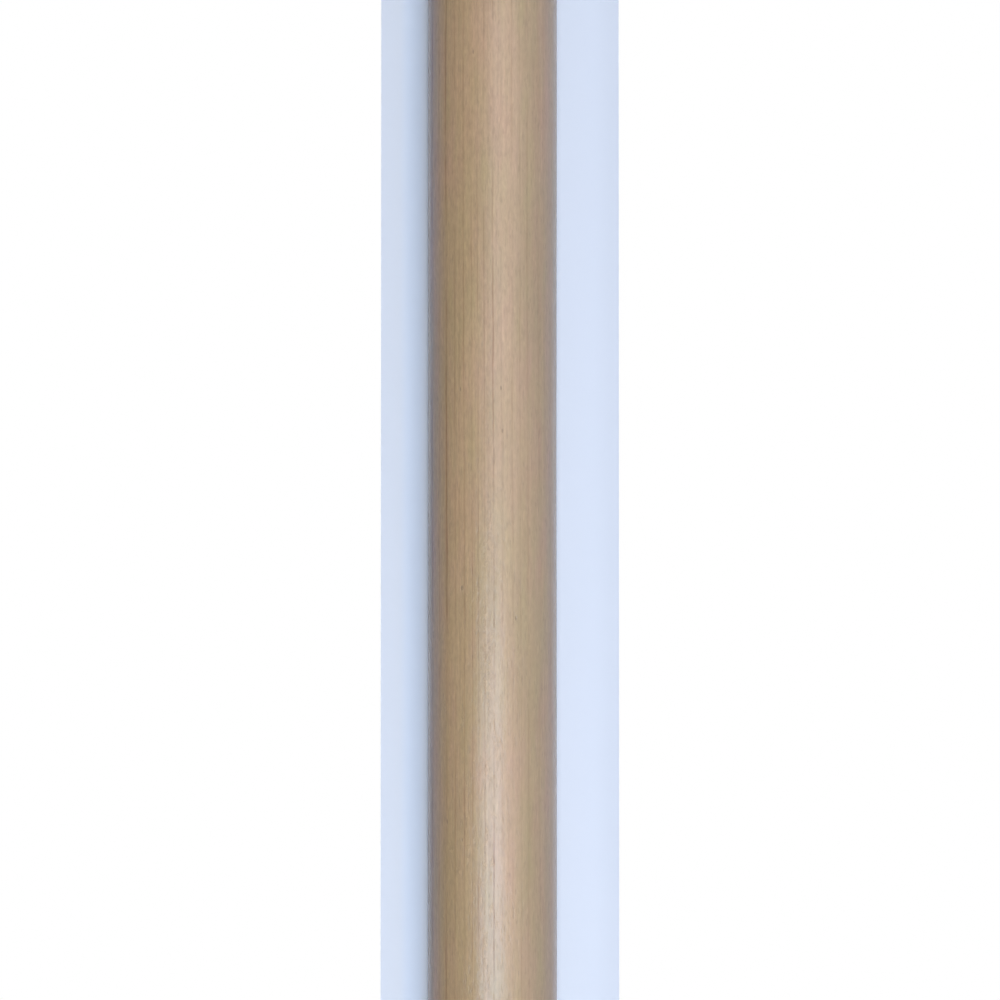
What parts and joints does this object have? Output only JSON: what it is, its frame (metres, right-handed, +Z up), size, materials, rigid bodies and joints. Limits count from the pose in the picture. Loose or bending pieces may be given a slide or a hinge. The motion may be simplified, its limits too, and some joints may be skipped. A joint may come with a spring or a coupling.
{
  "type": "roller extension pole",
  "caption": "Round lacquered wooden extension pole for a paint roller: screw-together sections with pinned threaded tips and sleeves, and a capped butt with a hang hole.",
  "frame": {"origin": "centre of the flat underside of the end cap, on the pole's axis", "axes": "+Z up the pole from the butt to the roller thread; the cross pins and the hang hole run front to back along Y"},
  "size_m": [0.0274, 0.0274, 1.2194],
  "materials": {
    "wood": "clear satin lacquer over straight-grained light hardwood",
    "cast_alloy": "die-cast, satin grey",
    "plated_steel": "thin zinc plating, lightly scuffed",
    "washer_rubber": "matte black",
    "cap_vinyl": "black vinyl, satin"
  },
  "bodies": {
    "bottom_section": {"bottom_shaft": "wood", "bottom_tip": "cast_alloy", "bottom_tip_pin": "plated_steel", "end_cap": "cap_vinyl"},
    "lower_washer": {"middle_joint_washer": "washer_rubber"},
    "middle_section": {"middle_shaft": "wood", "middle_socket_sleeve": "plated_steel", "middle_socket_insert": "cast_alloy", "middle_socket_pin": "plated_steel", "middle_tip": "cast_alloy", "middle_tip_pin": "plated_steel"},
    "upper_washer": {"top_joint_washer": "washer_rubber"},
    "top_section": {"top_shaft": "wood", "top_socket_sleeve": "plated_steel", "top_socket_insert": "cast_alloy", "top_socket_pin": "plated_steel", "top_tip": "cast_alloy", "top_tip_pin": "plated_steel"}
  },
  "joints": [
    {"name": "lower_joint_rise", "type": "slide", "parent": "bottom_section", "child": "lower_washer", "axis": [0, 0, 1], "range_m": [0, 0.0268]},
    {"name": "lower_joint_turn", "type": "hinge", "parent": "lower_washer", "child": "middle_section", "pos_m": [0, 0, 0.398], "axis": [0, 0, 1], "range_deg": [0, 1890]},
    {"name": "upper_joint_rise", "type": "slide", "parent": "middle_section", "child": "upper_washer", "axis": [0, 0, 1], "range_m": [0, 0.0268]},
    {"name": "upper_joint_turn", "type": "hinge", "parent": "upper_washer", "child": "top_section", "pos_m": [0, 0, 0.796], "axis": [0, 0, 1], "range_deg": [0, 1890]}
  ],
  "couplings": [
    {"joint": "lower_joint_rise", "follows": "lower_joint_turn", "m_per_rad": 0.00080851},
    {"joint": "upper_joint_rise", "follows": "upper_joint_turn", "m_per_rad": 0.00080851}
  ]
}
